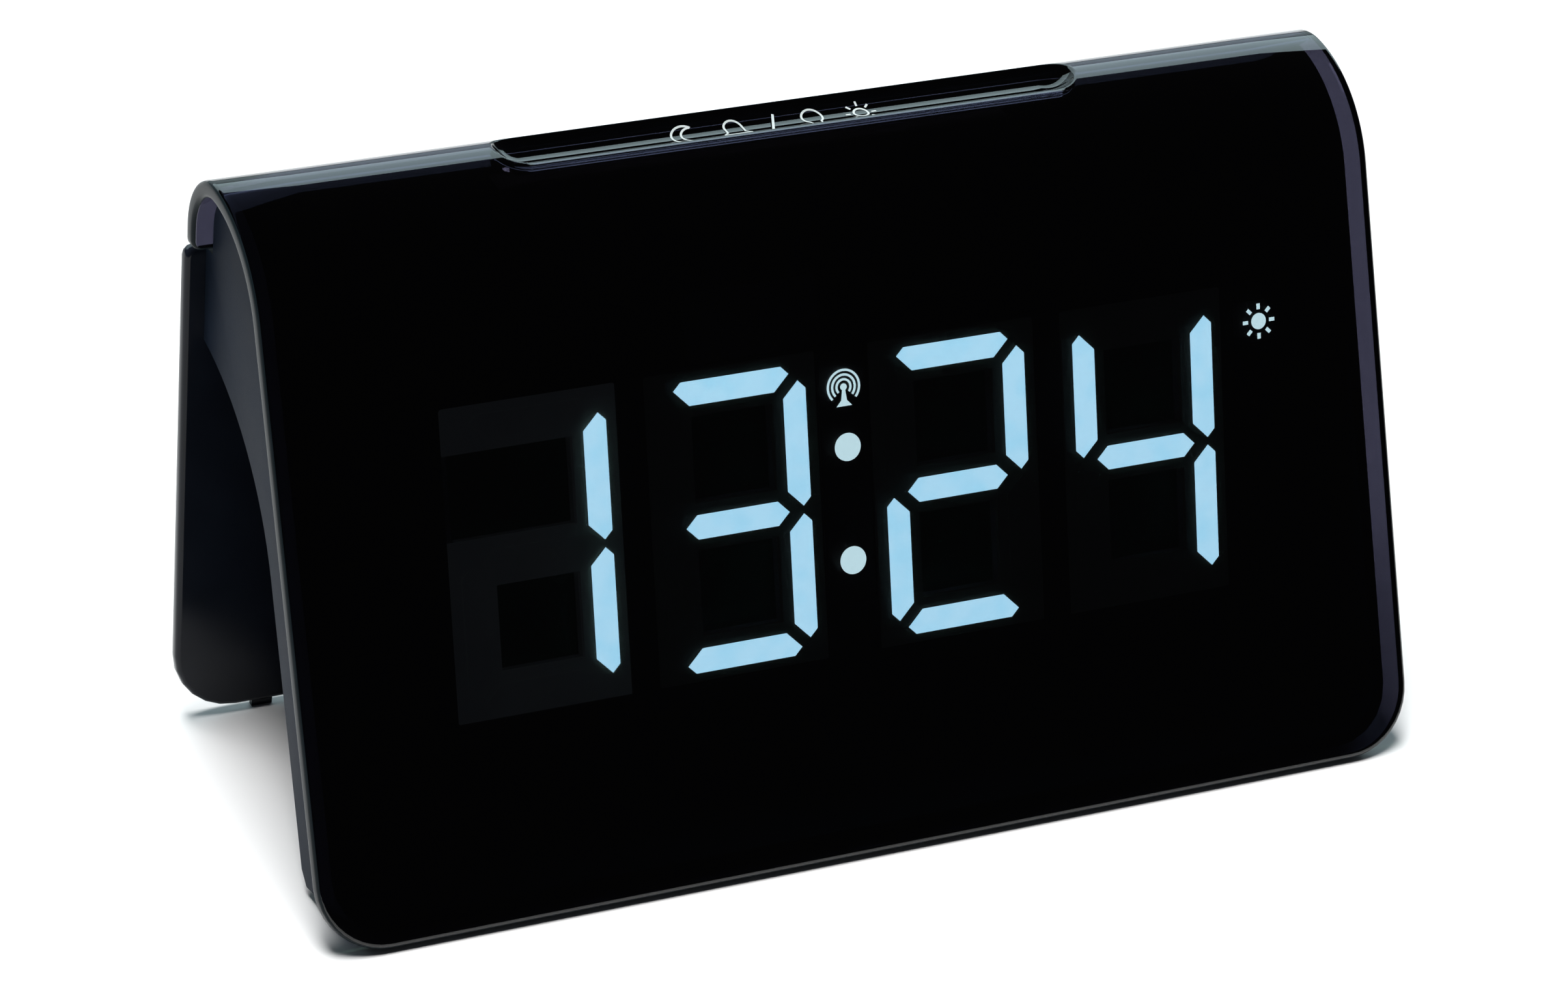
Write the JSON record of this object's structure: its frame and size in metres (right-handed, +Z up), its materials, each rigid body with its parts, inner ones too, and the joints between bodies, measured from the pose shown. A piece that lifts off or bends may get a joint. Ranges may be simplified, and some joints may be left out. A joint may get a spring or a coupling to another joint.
{
  "type": "alarm clock",
  "caption": "Tent-shaped digital alarm clock: smoked lens folded over a shallow case, large lit numerals, touch snooze dish, rear keys and slide-out cell tray.",
  "frame": {"origin": "under the middle of the clock, on the plane its feet stand on", "axes": "+X to the viewer's right, +Y towards the back, +Z up; the display faces -Y"},
  "size_m": [0.1656, 0.066, 0.0858],
  "materials": {
    "smoked_acrylic": "polished smoked acrylic",
    "textured_plastic": "fine spark-eroded texture",
    "gloss_black": "polished",
    "black_mask": "matt black",
    "diffuser": "milky light diffuser",
    "white_plastic": "matt white",
    "board": "green circuit board",
    "dark_package": "moulded component package",
    "steel": "plated steel",
    "brass_strip": "plain strip",
    "copper_wire": "enamelled winding",
    "ferrite": "dull",
    "flat_cable": "flat flexible cable",
    "foot_rubber": "soft black rubber"
  },
  "bodies": {
    "case": {"lens_shell": "smoked_acrylic", "case_body": "textured_plastic", "rear_leg": "gloss_black", "leg_screw_1": "steel", "leg_screw_2": "steel", "leg_screw_3": "steel", "display_frame": "black_mask", "digit_diffuser_1": "diffuser", "digit_diffuser_2": "diffuser", "digit_diffuser_3": "diffuser", "digit_diffuser_4": "diffuser", "colon_light_guide": "diffuser", "sign_light_guide": "diffuser", "display_reflector": "white_plastic", "display_board": "board", "led_strip_1": "white_plastic", "led_strip_2": "white_plastic", "led_strip_3": "white_plastic", "led_strip_4": "white_plastic", "key_board": "board", "board_screw_1": "steel", "board_screw_2": "steel", "tact_switch_1": "dark_package", "tact_switch_2": "dark_package", "tact_switch_3": "dark_package", "tact_switch_4": "dark_package", "tact_switch_5": "dark_package", "slide_switch": "steel", "dc_jack": "black_mask", "dc_pin": "steel", "main_board": "board", "controller_chip": "dark_package", "capacitor": "dark_package", "buzzer": "dark_package", "battery_contact_1": "brass_strip", "battery_contact_2": "brass_strip", "touch_plate": "brass_strip", "ferrite_rod": "ferrite", "antenna_coil": "copper_wire", "display_cable": "flat_cable", "front_foot_left": "foot_rubber", "front_foot_right": "foot_rubber", "rear_foot_left": "foot_rubber", "rear_foot_right": "foot_rubber"},
    "key_alarm": {"key_alarm": "gloss_black"},
    "key_wave": {"key_wave": "gloss_black"},
    "key_down": {"key_down": "gloss_black"},
    "key_up": {"key_up": "gloss_black"},
    "key_set": {"key_set": "gloss_black"},
    "slide_knob": {"slide_knob": "gloss_black"},
    "battery_tray": {"battery_tray": "gloss_black", "coin_cell": "steel"}
  },
  "joints": [
    {"name": "alarm_key_press", "type": "slide", "parent": "case", "child": "key_alarm", "axis": [0, -0.9936, 0.1132], "range_m": [0, 0.0006], "stiffness_N_per_m": 400},
    {"name": "wave_key_press", "type": "slide", "parent": "case", "child": "key_wave", "axis": [0, -0.9936, 0.1132], "range_m": [0, 0.0006], "stiffness_N_per_m": 400},
    {"name": "down_key_press", "type": "slide", "parent": "case", "child": "key_down", "axis": [0, -0.9936, 0.1132], "range_m": [0, 0.0006], "stiffness_N_per_m": 400},
    {"name": "up_key_press", "type": "slide", "parent": "case", "child": "key_up", "axis": [0, -0.9936, 0.1132], "range_m": [0, 0.0006], "stiffness_N_per_m": 400},
    {"name": "set_key_press", "type": "slide", "parent": "case", "child": "key_set", "axis": [0, -0.9936, 0.1132], "range_m": [0, 0.0006], "stiffness_N_per_m": 400},
    {"name": "slide_knob_travel", "type": "slide", "parent": "case", "child": "slide_knob", "axis": [1, 0, 0], "range_m": [-0.002, 0.002]},
    {"name": "battery_tray_slide", "type": "slide", "parent": "case", "child": "battery_tray", "axis": [0, 0.9936, -0.1132], "range_m": [0, 0.022]}
  ]
}
